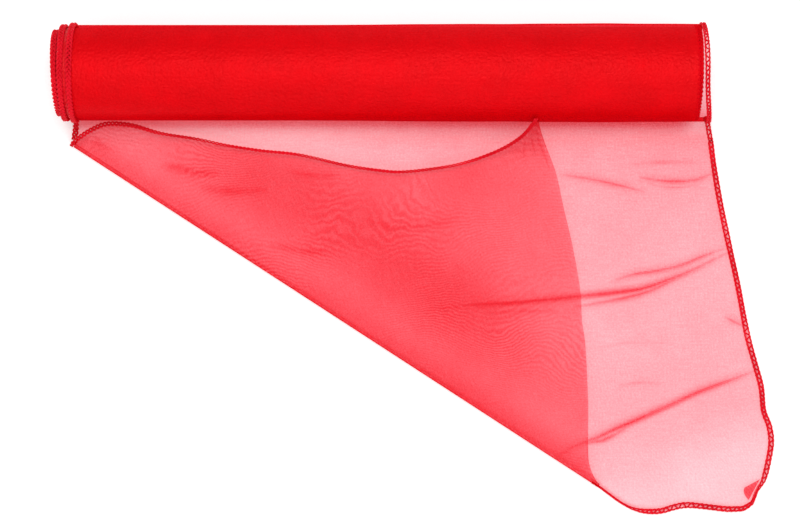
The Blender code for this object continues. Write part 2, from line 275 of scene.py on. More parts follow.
# How much denser than plain cloth each sheet is drawn, and where. In the drop the extra density also
# paints the roll's shadow.
leadDense = {"plain": -0.08, "byRoll": 0.22, "lighterLeft": 0.24, "lighterCorner": 0.29, "wrinkle": 3.0}
# The drop's extra density is partly its steep fall and partly painted shadow of the roll.
dropDenseAndShadow = {"crowd": 0.80, "thinPast": 0.30, "rollEnd": 168.0}
flapDense = {"plain": 0.22, "thinRight": 0.24, "middle": 0.95, "farHalf": 0.25, "byFold": 0.85,
             "thinFold": 0.35, "pleat": 2.2}


def leadHeight(x, y):
    # The lead's height over the table, and how much denser it is than plain cloth.
    z, crowd = ridges(x, y, wrinkles)
    z = z + 0.7 + 0.9 * np.abs(ripples(x, y, 4, 70, 1.6))
    # The lead is drawn darker by the roll, more so towards the right, and lighter at the left and
    # towards its far right corner.
    near = smoothStep((x + 100) / 230) * np.exp(np.minimum(0, (y + 37) / 35))
    spread = 0.5 * (x - 130) / 85 + 0.7 * (-y - 195) / 50
    dense = leadDense["plain"] + leadDense["byRoll"] * near
    dense = dense - leadDense["lighterLeft"] * (1 - smoothStep((x + 100) / 150))
    dense = dense - leadDense["lighterCorner"] * smoothStep((spread - 0.33) / 0.60)
    dense = dense + leadDense["wrinkle"] * crowd
    return np.minimum(z, 4.0), dense


def dropDensityAndShadow(x, y):
    # Cloth that falls steeply off the roll shows more thread, and this extra density also paints the
    # roll's shadow on the drop and on the table just in front of it; past the roll's right end, where
    # it hangs open, the drop is drawn lighter.
    past = smoothStep((x - dropDenseAndShadow["rollEnd"]) / 14)
    crowd = dropDenseAndShadow["crowd"] * (1 - past) * np.exp(np.minimum(0, (y + 29.0) / 1.9))
    thin = dropDenseAndShadow["thinPast"] * past * (1 - smoothStep((-y - 30) / 8))
    return (crowd - thin) * smoothStep((-y - 24) / 3)


def flapDensity(x, y):
    # The flap is tight and dense through its middle and slack beside its open edge.
    inside = (x - foldA[0]) * foldInside.x + (y - foldA[1]) * foldInside.y
    middle = smoothStep((x + 150) / 80) * (1 - 0.75 * smoothStep((x - 25) / 85))
    dense = flapDense["plain"] - flapDense["thinRight"] * smoothStep((x - 40) / 60)
    dense = dense + flapDense["middle"] * middle * np.exp(-(((inside - 44) / 27) ** 2))
    dense = dense + flapDense["farHalf"] * middle * smoothStep((inside - 60) / 40)
    dense = dense + flapDense["byFold"] * np.exp(-((np.maximum(inside, 0) / 9.5) ** 2))
    dense = dense - flapDense["thinFold"] * smoothStep(1 - (inside + 0.5) / 2)
    return dense + flapDense["pleat"] * ridges(x, y, pleats)[1]


fold = {
    "radius": 2.1,        # half the height of the fold
    "setBack": 1.2,       # the fold's middle, inside the line of the hinge
    "lie": 4.9,           # height of the flap's cloth
    "length": 369.6,      # of the crease
    "fills": 0.62,        # share of its own box that the flap's outline fills
    "blend": (0.6, 4.4),  # heights between which the fold passes from one body to the other
}
lean = {"run": 25.0, "power": 2.2, "left": 0.17, "rise": 12.0, "clear": 0.9}


def flapHeight(x, y):
    front = -roll["looseRadius"] + 2.0
    run = np.clip((y - front + lean["run"]) / lean["run"], 0, 1)
    share = lean["left"] + (1 - lean["left"]) * smoothStep((x + 108) / 168)
    return fold["lie"] + share * (axisZ / mm + lean["rise"] - fold["lie"]) * run ** lean["power"]


def clearOfRoll(x, y, z, margin):
    # Points inside the margin round the outer turn go straight out from the roll's axis.
    radius = turnRadius(x) + margin
    high = z - axisZ / mm
    distance = np.hypot(y, high)
    scale = np.where((distance < radius) & (z > 4), radius / np.maximum(distance, 1e-6), 1.0)
    return y * scale, axisZ / mm + high * scale


def planOf(point):
    # A frame point in this script's millimetres.
    return np.array([(point.x - webMiddle) / mm, (point.y - axisY) / mm, point.z / mm])


foldA = planOf(foldStart)


def foldPoint(share, inside, z):
    # Arrays of points along the fold, a distance inside its axis, in millimetres.
    share = np.asarray(share)[..., None]
    along = np.array(tuple(foldAlong))
    beside = np.array(tuple(foldInside))
    out = foldA + along * fold["length"] * share + beside * np.asarray(inside)[..., None]
    out[..., 2] = z
    return out


def makeObject(name, points, faces, material, body=None):
    mesh = bpy.data.meshes.new(name)
    mesh.from_pydata([tuple(p) for p in points], [], faces)
    mesh.materials.append(material)
    mesh.shade_smooth()
    piece = bpy.data.objects.new(name, mesh)
    bpy.context.scene.collection.objects.link(piece)
    if body:
        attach(piece, body)
    return piece


def gridFaces(rows, columns, start=0, closed=False):
    faces = []
    for r in range(rows - 1):
        for c in range(columns if closed else columns - 1):
            a = start + r * columns + c
            b = start + r * columns + (c + 1) % columns
            faces.append((a, b, b + columns, a + columns))
    return faces


def toFrame(points):
    out = np.asarray(points, float) * mm
    out[..., 0] += webMiddle
    out[..., 1] += axisY
    return out


def setClothData(piece, cloth, gather):
    # The cloth's own coordinates in metres as a UV map, and how gathered it is, which on the lead also
    # holds painted shadow in front of the roll.
    mesh = piece.data
    layer = mesh.uv_layers.new(name="clothPlace")
    index = np.empty(len(mesh.loops), np.int32)
    mesh.loops.foreach_get("vertex_index", index)
    layer.uv.foreach_set("vector", (np.asarray(cloth) * mm)[index].astype(np.float32).ravel())
    attribute = mesh.attributes.new("gather", "FLOAT", "POINT")
    attribute.data.foreach_set("value", np.asarray(gather, np.float32))


def mixedColor(tree, share, dark, pale):
    mix = tree.nodes.new("ShaderNodeMix")
    mix.data_type = "RGBA"
    mix.inputs["A"].default_value = dark
    mix.inputs["B"].default_value = pale
    tree.links.new(share, mix.inputs["Factor"])
    return mix.outputs["Result"]


def newMaterial(name):
    material = bpy.data.materials.new(name)
    material.use_nodes = True
    tree = material.node_tree
    tree.nodes.clear()
    out = tree.nodes.new("ShaderNodeOutputMaterial")
    return material, tree, out


def mathNode(tree, operation, first, second=None, clamp=False):
    node = tree.nodes.new("ShaderNodeMath")
    node.operation = operation
    node.use_clamp = clamp
    for socket, value in zip(node.inputs, (first, second)):
        if value is None:
            continue
        if isinstance(value, (int, float)):
            socket.default_value = value
        else:
            tree.links.new(value, socket)
    return node.outputs[0]


def noiseNode(tree, vector, scale, detail=2.0, distortion=0.0):
    node = tree.nodes.new("ShaderNodeTexNoise")
    tree.links.new(vector, node.inputs["Vector"])
    node.inputs["Scale"].default_value = scale
    node.inputs["Detail"].default_value = detail
    node.inputs["Distortion"].default_value = distortion
    return node.outputs["Fac"]


def threadWeaveGroup():
    # Warp and weft threads of the cloth: a colour, a roughness and a height.
    group = bpy.data.node_groups.new("threadWeave", "ShaderNodeTree")
    face = group.interface
    face.new_socket("Place", in_out="INPUT", socket_type="NodeSocketVector")
    for name, value in (("Pitch", 0.0004), ("Slub", 0.3), ("Roughness", 0.4)):
        face.new_socket(name, in_out="INPUT", socket_type="NodeSocketFloat").default_value = value
    for name in ("Light Thread", "Deep Thread"):
        face.new_socket(name, in_out="INPUT", socket_type="NodeSocketColor")
    face.new_socket("Color", in_out="OUTPUT", socket_type="NodeSocketColor")
    face.new_socket("Roughness", in_out="OUTPUT", socket_type="NodeSocketFloat")
    face.new_socket("Height", in_out="OUTPUT", socket_type="NodeSocketFloat")
    given = group.nodes.new("NodeGroupInput")
    result = group.nodes.new("NodeGroupOutput")
    split = group.nodes.new("ShaderNodeSeparateXYZ")
    group.links.new(given.outputs["Place"], split.inputs[0])
    waves = []
    for axis in (0, 1):
        turns = mathNode(group, "DIVIDE", split.outputs[axis], given.outputs["Pitch"])
        wave = mathNode(group, "SINE", mathNode(group, "MULTIPLY", turns, math.tau))
        waves.append(mathNode(group, "MULTIPLY_ADD", wave, 0.5))
        waves[-1].node.inputs[2].default_value = 0.5
    height = mathNode(group, "MAXIMUM", waves[0], waves[1])
    broad = noiseNode(group, given.outputs["Place"], 55.0, 4.0)
    streak = group.nodes.new("ShaderNodeMapping")
    streak.inputs["Scale"].default_value = (900.0, 60.0, 1.0)
    group.links.new(given.outputs["Place"], streak.inputs["Vector"])
    slub = noiseNode(group, streak.outputs[0], 1.0, 3.0)
    share = mathNode(group, "MULTIPLY_ADD", slub, given.outputs["Slub"])
    group.links.new(broad, share.node.inputs[2])
    mix = group.nodes.new("ShaderNodeMix")
    mix.data_type = "RGBA"
    group.links.new(mathNode(group, "SUBTRACT", share, 0.15, True), mix.inputs["Factor"])
    group.links.new(given.outputs["Deep Thread"], mix.inputs["A"])
    group.links.new(given.outputs["Light Thread"], mix.inputs["B"])
    group.links.new(mix.outputs["Result"], result.inputs["Color"])
    rough = mathNode(group, "MULTIPLY_ADD", mathNode(group, "SUBTRACT", broad, 0.5), 0.25)
    group.links.new(given.outputs["Roughness"], rough.node.inputs[2])
    group.links.new(rough, result.inputs["Roughness"])
    group.links.new(mathNode(group, "ADD", height, slub), result.inputs["Height"])
    return group


weaveGroup = threadWeaveGroup()


def addWeave(tree, vector, light, deep, roughness, pitch=0.0004, slub=0.3):
    node = tree.nodes.new("ShaderNodeGroup")
    node.node_tree = weaveGroup
    tree.links.new(vector, node.inputs["Place"])
    node.inputs["Pitch"].default_value = pitch
    node.inputs["Slub"].default_value = slub
    node.inputs["Roughness"].default_value = roughness
    node.inputs["Light Thread"].default_value = (*light, 1)
    node.inputs["Deep Thread"].default_value = (*deep, 1)
    return node


def addBump(tree, height, strength, distance):
    bump = tree.nodes.new("ShaderNodeBump")
    bump.inputs["Strength"].default_value = strength
    bump.inputs["Distance"].default_value = distance
    tree.links.new(height, bump.inputs["Height"])
    return bump.outputs["Normal"]


organza = {
    "tint": (0.965, 0.592, 0.632),  # what one layer lets through, straight on
    "cover": 0.07,                  # how much of it the threads themselves hide
    "light": (0.88, 0.006, 0.018),
    "deep": (0.72, 0.002, 0.008),
    "roughness": 0.42,
    "broad": (26.0, 0.30),          # scale and strength of the slow changes in density
    "grain": (950.0, 0.80),         # and of the threads' own
    "streaks": (((90.0, 1100.0, 1.0), 0.20), ((1100.0, 90.0, 1.0), 0.12)),
    "waterAmount": 0.34,
    "waterFlow": (410.0, 196.0),    # watered lines per metre, across and along the web
    "mostSlant": 0.22,              # cosine under which a slanting ray's path grows no more
}


def makeOrganza(name, watered, waterTurns):
    # Sheer cloth. A ray that crosses it aslant meets more thread, and so does one in a gather. On the
    # lead the gather also carries painted shadow in front of the roll.
    material, tree, out = newMaterial(name)
    place = tree.nodes.new("ShaderNodeUVMap")
    place.uv_map = "clothPlace"
    gather = tree.nodes.new("ShaderNodeAttribute")
    gather.attribute_name = "gather"
    facing = tree.nodes.new("ShaderNodeLayerWeight")
    facing.inputs["Blend"].default_value = 0.5
    cosine = mathNode(tree, "SUBTRACT", 1.0, facing.outputs["Facing"])
    path = mathNode(tree, "DIVIDE", 1.0, mathNode(tree, "MAXIMUM", cosine, organza["mostSlant"]))

    broad = noiseNode(tree, place.outputs[0], organza["broad"][0], 3.0, 0.6)
    grain = noiseNode(tree, place.outputs[0], organza["grain"][0], 1.0)
    density = mathNode(tree, "MULTIPLY_ADD", broad, organza["broad"][1])
    density.node.inputs[2].default_value = 1 - organza["broad"][1] / 2
    fine = mathNode(tree, "MULTIPLY_ADD", grain, organza["grain"][1])
    fine.node.inputs[2].default_value = -organza["grain"][1] / 2
    density = mathNode(tree, "ADD", density, fine)
    # Watered lines run one way, bent by a slow noise, and show in some patches only.
    slow = noiseNode(tree, place.outputs[0], 12.0, 1.0, 0.2)
    quick = noiseNode(tree, place.outputs[0], 130.0, 2.0)
    split = tree.nodes.new("ShaderNodeSeparateXYZ")
    tree.links.new(place.outputs[0], split.inputs[0])
    acrossWeb, alongWeb = (lines * math.tau for lines in organza["waterFlow"])
    flow = mathNode(tree, "MULTIPLY_ADD", split.outputs["X"], acrossWeb)
    tree.links.new(mathNode(tree, "MULTIPLY", split.outputs["Y"], alongWeb), flow.node.inputs[2])
    level = mathNode(tree, "MULTIPLY_ADD", slow, waterTurns * math.tau)
    quick = mathNode(tree, "MULTIPLY", quick, 2.3 * math.tau)
    tree.links.new(mathNode(tree, "ADD", quick, flow), level.node.inputs[2])
    patches = mathNode(tree, "SUBTRACT", noiseNode(tree, place.outputs[0], 17.0, 1.0), 0.38, True)
    mark = mathNode(tree, "MULTIPLY", mathNode(tree, "SINE", level), patches)
    mark = mathNode(tree, "MULTIPLY", mark, organza["waterAmount"] * 3.0 * watered)
    density = mathNode(tree, "ADD", density, mark)
    for stretch, turn in organza["streaks"]:
        mapping = tree.nodes.new("ShaderNodeMapping")
        mapping.inputs["Scale"].default_value = stretch
        tree.links.new(place.outputs[0], mapping.inputs["Vector"])
        line = mathNode(tree, "MULTIPLY_ADD", noiseNode(tree, mapping.outputs[0], 1.0, 2.0), turn * 2)
        line.node.inputs[2].default_value = -turn
        density = mathNode(tree, "ADD", density, line)
    # The gather read here includes the painted shadow on the lead in front of the roll.
    extra = mathNode(tree, "ADD", gather.outputs["Fac"], 1.0)
    power = mathNode(tree, "MULTIPLY", mathNode(tree, "MULTIPLY", path, density), extra)

    combine = tree.nodes.new("ShaderNodeCombineColor")
    for socket, passed in zip(combine.inputs, organza["tint"]):
        tree.links.new(mathNode(tree, "POWER", passed, power), socket)
    clear = tree.nodes.new("ShaderNodeBsdfTransparent")
    tree.links.new(combine.outputs[0], clear.inputs["Color"])
    hidden = mathNode(tree, "SUBTRACT", 1.0, mathNode(tree, "POWER", 1 - organza["cover"], power))

    threads = tree.nodes.new("ShaderNodeBsdfPrincipled")
    weave = addWeave(tree, place.outputs[0], organza["light"], organza["deep"],
                     organza["roughness"])
    tree.links.new(weave.outputs["Color"], threads.inputs["Base Color"])
    tree.links.new(weave.outputs["Roughness"], threads.inputs["Roughness"])
    threads.inputs["Specular IOR Level"].default_value = 0.0
    tree.links.new(addBump(tree, weave.outputs["Height"], 0.25, 0.0001), threads.inputs["Normal"])
    mix = tree.nodes.new("ShaderNodeMixShader")
    tree.links.new(hidden, mix.inputs[0])
    tree.links.new(clear.outputs[0], mix.inputs[1])
    tree.links.new(threads.outputs[0], mix.inputs[2])
    tree.links.new(mix.outputs[0], out.inputs["Surface"])
    return material


woundFinish = {
    "light": (0.91, 0.0008, 0.011),
    "deep": (0.65, 0.0001, 0.003),
    "roughness": 0.42,
    "metallic": 0.20,
    "specular": 0.27,
    "puffs": 0.75,      # height of the slack patches, in millimetres
    "puffScale": (22.0, 75.0, 1.0),
    "crepe": 0.75,      # and of the fine crinkle
    "crepeScale": 620.0,
}


def makeWound():
    # Many turns of the cloth on each other: no light comes through, and the sheen is the dye's.
    material, tree, out = newMaterial("woundOrganza")
    place = tree.nodes.new("ShaderNodeUVMap")
    place.uv_map = "clothPlace"
    shader = tree.nodes.new("ShaderNodeBsdfPrincipled")
    weave = addWeave(tree, place.outputs[0], woundFinish["light"], woundFinish["deep"],
                     woundFinish["roughness"], slub=0.45)
    tree.links.new(weave.outputs["Color"], shader.inputs["Base Color"])
    tree.links.new(weave.outputs["Roughness"], shader.inputs["Roughness"])
    shader.inputs["Metallic"].default_value = woundFinish["metallic"]
    shader.inputs["Specular IOR Level"].default_value = woundFinish["specular"]
    # The turns below press slack patches and faint cross bands into the outer ones.
    slack = tree.nodes.new("ShaderNodeMapping")
    slack.inputs["Scale"].default_value = woundFinish["puffScale"]
    tree.links.new(place.outputs[0], slack.inputs["Vector"])
    puffs = noiseNode(tree, slack.outputs[0], 1.0, 4.0, 0.8)
    crepe = noiseNode(tree, place.outputs[0], woundFinish["crepeScale"], 3.0)
    fine = mathNode(tree, "MULTIPLY_ADD", crepe, woundFinish["crepe"])
    tree.links.new(mathNode(tree, "MULTIPLY", weave.outputs["Height"], 0.02), fine.node.inputs[2])
    height = mathNode(tree, "MULTIPLY_ADD", puffs, woundFinish["puffs"])
    tree.links.new(fine, height.node.inputs[2])
    tree.links.new(addBump(tree, height, 1.0, 0.001), shader.inputs["Normal"])
    tree.links.new(shader.outputs[0], out.inputs["Surface"])
    return material


cordFinish = {"light": (0.94, 0.009, 0.027), "deep": (0.56, 0.001, 0.007), "roughness": 0.55,
              "specular": 0.08, "pitch": 0.0007, "slub": 0.5}


def makeCord():
    # Looped thread of the corded edges, with its twist and its fuzz.
    material, tree, out = newMaterial("cordThread")
    place = tree.nodes.new("ShaderNodeTexCoord")
    shader = tree.nodes.new("ShaderNodeBsdfPrincipled")
    weave = addWeave(tree, place.outputs["Object"], cordFinish["light"], cordFinish["deep"],
                     cordFinish["roughness"], cordFinish["pitch"], cordFinish["slub"])
    tree.links.new(weave.outputs["Color"], shader.inputs["Base Color"])
    tree.links.new(weave.outputs["Roughness"], shader.inputs["Roughness"])
    shader.inputs["Specular IOR Level"].default_value = cordFinish["specular"]
    tree.links.new(addBump(tree, weave.outputs["Height"], 0.5, 0.0003), shader.inputs["Normal"])
    tree.links.new(shader.outputs[0], out.inputs["Surface"])
    return material


sheerLead = makeOrganza("sheerLead", 0.15, 26)
sheerFlap = makeOrganza("sheerFlap", 1.0, 42)
woundCloth = makeWound()
cordThread = makeCord()
print("materials made")


leadGrid = {"columns": 540, "turnSteps": 60, "dropSteps": 22, "tableRows": 310}


def makeLead():
    # The loose outer turn, the drop and the lead on the table, as one cloth.
    columns, tableRows = leadGrid["columns"], leadGrid["tableRows"]
    s = np.linspace(0, 1, columns)
    rows, cloth, gathers = [], [], []
    travelled = 0.0
    for angle, cosine, sine, drop in turnLine(leadGrid["turnSteps"], leadGrid["dropSteps"]):
        left = -edgeReach(angle, drop, -1)
        right = edgeReach(angle, drop, 1)
        x = left + (right - left) * s
        radius = turnRadius(x)
        if angle is not None:
            y, z = radius * cosine, axisZ / mm + radius * sine
        else:
            fall = np.array([dropPoint(drop, r) for r in radius])
            y, z = fall[:, 0], fall[:, 1]
        rows.append(np.stack([x, y, z], axis=1))
        if len(rows) > 1:
            travelled -= np.linalg.norm(rows[-1] - rows[-2], axis=1).mean()
        cloth.append(np.stack([x, np.full(columns, travelled)], axis=1))
        # The drop's gather adds painted shadow in front of the roll.
        gathers.append(leadHeight(x, y)[1] * smoothStep((-y - 20) / 8) + dropDensityAndShadow(x, y))
    top = rows[-1]
    landed = travelled - roll["landing"]
    right = evenly([at(*p) for p in smoothCurveOf("right")], tableRows + 1)
    right = np.array([planOf(Vector(p)) for p in right])
    end = [at(*p) for p in smoothCurveOf("end")][::-1]
    creaseShare = np.linspace(0, 0.992, 120)
    crease = [Vector(p) for p in toFrame(foldPoint(creaseShare, fold["setBack"], 0.0))]
    bottom = np.array([planOf(Vector(p)) for p in evenly([*crease, *end], columns)])
    for i in range(1, tableRows + 1):
        t = i / tableRows
        line = top * (1 - t) + bottom * t
        pull = right[i] - line[-1]
        line = line + pull * (s**3)[:, None]
        z, gather = leadHeight(line[:, 0], line[:, 1])
        settle = smoothStep((roll["landing"] - line[:, 1]) / 16)
        edge = smoothStep((1 - t) * tableRows / 7)
        line[:, 2] = top[:, 2] * (1 - settle) + settle * (0.5 + (z - 0.5) * edge)
        rows.append(line)
        cloth.append(np.stack([line[:, 0], line[:, 1] + landed], axis=1))
        edgeBand = 0.5 * smoothStep(1 - (1 - t) * tableRows / 5) * smoothStep((165 - line[:, 0]) / 25)
        # The first table rows also get the painted shadow in front of the roll.
        gathers.append(gather + dropDensityAndShadow(line[:, 0], line[:, 1]) + edgeBand)
    points = np.concatenate(rows)
    faces = gridFaces(len(rows), columns)
    piece = makeObject("organza_lead", toFrame(points), faces, sheerLead, "sheet")
    setClothData(piece, np.concatenate(cloth), np.concatenate(gathers))
    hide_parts("outer_turn", "lead_sheet")
    return piece


def flapSurface(x, y):
    z = flapHeight(x, y)
    y, z = clearOfRoll(x, y, z, lean["clear"])
    return y, z


flapGrid = {"columns": 430, "bendSteps": 12, "rowsOver": 210, "onTop": 250}


def makeFlap():
    # The fold and the flap turned over it. Its cloth place is the flap laid flat again.
    columns, bendSteps, rowsOver = flapGrid["columns"], flapGrid["bendSteps"], flapGrid["rowsOver"]
    onTop = flapGrid["onTop"]
    topLine = smoothCurveOf("flapTop")
    rawLine = smoothCurveOf("flapRaw")
    farTop = evenly([Vector(p) for p in topLine], onTop)
    farRaw = evenly([Vector(p) for p in [topLine[-1], *rawLine]], columns - onTop + 1)[1:]
    far = np.concatenate([farTop, farRaw])
    share = np.linspace(0, 1, columns)
    # Most columns end on the corded edge, and the one to the flap's point starts well along the fold.
    places = np.interp(share, [0, (onTop - 1) / (columns - 1), 1], [0.004, 0.745, 0.996])
    rows, gathers = [], []
    for i in range(bendSteps + 1):
        a = -math.pi / 2 - math.pi * i / bendSteps
        inside = fold["setBack"] + fold["radius"] * math.cos(a)
        z = 0.5 + fold["radius"] * (1 + math.sin(a))
        rows.append(foldPoint(places, np.full(columns, inside), z))
        gathers.append(flapDensity(rows[-1][:, 0], rows[-1][:, 1]))
    near = rows[-1]
    for i in range(1, rowsOver + 1):
        t = i / rowsOver
        line = near * (1 - t) + far * t
        y, z = flapSurface(line[:, 0], line[:, 1])
        soft = ripples(line[:, 0], line[:, 1], 9, 46, 2.4) * 4 * t * (1 - t)
        ease = smoothStep(np.array([min(1.0, i / 7)]))[0]
        high = z + np.abs(soft) + ridges(line[:, 0], line[:, 1], pleats)[0]
        rawEdge = 1.2 * (i == rowsOver) * (np.arange(columns) >= onTop)
        gathers.append(flapDensity(line[:, 0], line[:, 1]) + rawEdge)
        rows.append(np.stack([line[:, 0], y, near[:, 2] * (1 - ease) + ease * high], axis=1))
    points = np.concatenate(rows)
    faces = [f[::-1] for f in gridFaces(len(rows), columns)]
    piece = makeObject("organza_flap", toFrame(points), faces, sheerFlap)
    beside = np.array(tuple(foldInside))[:2]
    distance = (points[:, :2] - foldA[:2]) @ beside
    cloth = points[:, :2] - 2 * distance[:, None] * beside
    setClothData(piece, cloth, np.concatenate(gathers))
    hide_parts("flap_panel", "fold_roll")
    return piece


cords = {
    "chainStrand": 0.56,   # the edge lying flat: two rails and a thread that crosses, with holes
    "chainReach": 1.14,
    "chainRise": 0.5,
    "chainPeriod": 5.2,
    "chainWeb": 1.1,       # half the width of the cloth that the chain is looped on
    "braidStrand": 0.68,   # the cord that holds the turns' edges: three strands, no holes
    "braidReach": 1.25,
    "braidRise": 0.62,
    "braidPeriod": 8.1,
    "flapStrand": 0.47,    # the flap's edge: two strands, pulled thin
    "flapReach": 0.54,
    "flapRise": 0.36,
    "flapPeriod": 4.6,
    "flapOpens": ([-152, -128, 40, 80], [1.75, 1.0, 1.0, 1.3]),  # x, and how far the strands part
    "around": 7,           # points round a strand, and steps along it in one period
    "perPeriod": 11,
}


def makeCordMesh(name, centre, sides, strands, radius, reach, rise, period, spread=None, web=0.0):
    # Strands that swing from side to side along the centre line and pass over each other.
    centre = np.asarray(centre, float)
    steps = np.linalg.norm(np.diff(centre, axis=0), axis=1)
    along = np.concatenate([[0], np.cumsum(steps)])
    count = int(along[-1] / (period / cords["perPeriod"]))
    goals = np.linspace(0, along[-1], count)
    line = np.stack([np.interp(goals, along, centre[:, k]) for k in range(3)], axis=1)
    side = np.stack([np.interp(goals, along, np.asarray(sides)[:, k]) for k in range(3)], axis=1)
    travel = np.gradient(line, axis=0)
    travel /= np.linalg.norm(travel, axis=1)[:, None]
    side -= travel * (side * travel).sum(1)[:, None]
    side /= np.linalg.norm(side, axis=1)[:, None]
    up = np.cross(travel, side)
    opened = np.ones(count) if spread is None else np.interp(goals, along, spread)
    uneven = 1 + 0.10 * np.sin(goals / 11.3) + 0.07 * np.sin(goals / 4.7 + 1)
    around = cords["around"]
    points, faces = [], []
    for k in range(strands):
        phase = goals * math.tau / period + math.tau * k / strands
        lift = np.cos(phase) if strands == 2 else np.sin(2 * phase)
        sway = np.sin(phase)
        if web:
            # A chain: the first two strands are its rails, and the third crosses between them.
            phase = goals * math.tau / period + 0.6 * np.sin(goals / 9.1)
            lift = (0.3 * np.sin(phase), -0.3 * np.sin(phase), -np.cos(2 * phase))[k]
            sway = (1 + 0.1 * np.sin(2 * phase), -1 + 0.1 * np.sin(2 * phase), 0.9 * np.sin(phase))[k]
        swing = reach * opened * uneven * sway
        strand = line + side * swing[:, None] + up * (rise * lift)[:, None]
        thick = radius * (0.5 + 0.5 * opened) * (2 - uneven)
        forward = np.gradient(strand, axis=0)
        forward /= np.linalg.norm(forward, axis=1)[:, None]
        across = side - forward * (side * forward).sum(1)[:, None]
        across /= np.linalg.norm(across, axis=1)[:, None]
        over = np.cross(forward, across)
        start = len(points) * around
        for i in range(count):
            ring = []
            for j in range(around):
                a = math.tau * j / around
                ring.append(strand[i] + (across[i] * math.cos(a) + over[i] * math.sin(a)) * thick[i])
            points.append(ring)
        faces += gridFaces(count, around, start, closed=True)
        last = start + (count - 1) * around
        faces.append(tuple(range(start + around - 1, start - 1, -1)))
        faces.append(tuple(range(last, last + around)))
    flat = np.array(points).reshape(-1, 3)
    corded = len(faces)
    if web:
        # The cloth's own edge, on which the strands are looped.
        start = len(flat)
        wide = (side * web * np.minimum(1, opened)[:, None])
        flat = np.concatenate([flat, np.stack([line - wide, line + wide], axis=1).reshape(-1, 3)])
        faces += gridFaces(count, 2, start)
    piece = makeObject(name, toFrame(flat), faces, cordThread)
    if web:
        piece.data.materials.append(sheerLead)
        for face in piece.data.polygons[corded:]:
            face.material_index = 1
    return piece


def hemOnTurn(side):
    # The cord along one edge of the outer turn and its drop, with the side its strands swing to.
    centre, sides = [], []
    for angle, cosine, sine, drop in turnLine(90, 26):
        x = side * (edgeReach(angle, drop, side) + 0.5)
        radius = float(turnRadius(x)) + 0.2
        if angle is not None:
            y, z = radius * cosine, axisZ / mm + radius * sine
        else:
            y, z = dropPoint(drop, radius)
        centre.append((x, y, max(z, 1.5)))
        sides.append((1, 0, 0))
    return centre, sides


def sidesInPlan(centre):
    travel = np.gradient(np.asarray(centre, float), axis=0)
    return np.stack([travel[:, 1], -travel[:, 0], np.zeros(len(travel))], axis=1)


def makeRightHem():
    # The corded edge runs closed round the tucked corner and again where it nears the fold.
    centre, sides = hemOnTurn(1)
    table = smoothCurveOf("right")[1:] + smoothCurveOf("end")[1:] + [(119.5, -238.4, 0)]
    table = [(x, y, 1.3) for x, y, _ in table]
    turned = len(centre)
    centre = np.array([*centre, *table])
    plan = sidesInPlan(centre)
    sides = np.array([*sides, *plan[turned:]], float)
    x, y = centre[:, 0], centre[:, 1]
    spread = np.where(np.arange(len(x)) < turned, 0.86, 1.0)
    corner = np.exp(-(((x - 216.5) / 7) ** 2) - ((y + 244.5) / 7) ** 2)
    spread = spread * (1 - 0.75 * corner) * (0.30 + 0.70 * smoothStep((x - 138) / 18))
    piece = makeCordMesh("hem_right", centre, sides, 3, cords["chainStrand"],
                         cords["chainReach"], cords["chainRise"], cords["chainPeriod"], spread,
                         cords["chainWeb"])
    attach(piece, "sheet")
    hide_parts("right_turn_hem", "right_hem", "end_hem")
    return piece


def makeLeftHem():
    centre, sides = hemOnTurn(-1)
    piece = makeCordMesh("hem_left", centre, sides, 3, cords["braidStrand"], cords["braidReach"],
                         cords["braidRise"], cords["braidPeriod"])
    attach(piece, "sheet")
    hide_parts("left_turn_hem")
    return piece


def makeFlapHem():
    # From under the fold's left end, round it, and along the top edge of the flap.
    start = [(-184.2, -38.4, 1.4), (-185.8, -40.6, 2.6), (-184.9, -39.7, 4.8)]
    centre = start + [
        (x, *flapSurface(np.array([x]), np.array([y]))) for x, y, _ in smoothCurveOf("flapTop")
    ]
    centre = np.array([[float(np.squeeze(v)) for v in p] for p in centre])
    y, z = clearOfRoll(centre[:, 0], centre[:, 1], centre[:, 2], lean["clear"] + 0.9)
    centre[:, 1], centre[:, 2] = y, z
    sides = sidesInPlan(centre)
    # The edge stands open as a chain at the fold's end, and is pulled thin along the rest.
    spread = np.interp(centre[:, 0], *cords["flapOpens"])
    piece = makeCordMesh("hem_flap", centre, sides, 2, cords["flapStrand"], cords["flapReach"],
                         cords["flapRise"], cords["flapPeriod"], spread)
    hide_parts("flap_hem")
    return piece


def makeCoils():
    # The corded edges of the wound turns, coiled outwards at both ends of the roll.
    pieces = []
    # Each coil's node, its x, first radius, last radius, turns and slant.
    plan = [
        ("left_inner_coil", -190.4, 17.6, 24.1, 1.9, 1.4),
        ("left_outer_coil", -186.3, 20.4, 26.9, 2.2, 0.4),
        ("right_inner_coil", 173.3, 17.6, 22.8, 1.9, 0.0),
        ("right_outer_coil", 177.5, 20.4, 26.2, 2.2, -0.6),
    ]
    for node, x, inner, outer, turns, slant in plan:
        share = np.linspace(0, 1, int(90 * turns))
        a = math.radians(roll["wrapStart"]) - math.tau * turns * (1 - share)
        radius = inner + (outer - inner) * smoothStep(share * 1.35)
        centre = np.stack(
            [x + slant * (0.5 - np.cos(a)) / 1.5, radius * np.cos(a), axisZ / mm + radius * np.sin(a)],
            axis=1,
        )
        sides = np.tile([1.0, 0.0, 0.0], (len(a), 1))
        name = "cord_" + node.replace("_coil", "")
        piece = makeCordMesh(name, centre, sides, 3, cords["braidStrand"], cords["braidReach"],
                             cords["braidRise"], cords["braidPeriod"])
        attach(piece, "roll")
        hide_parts(node)
        pieces.append(piece)
    return pieces


wound = {"innerRadius": 15.6, "turns": 14, "steps": 96, "columns": 40}


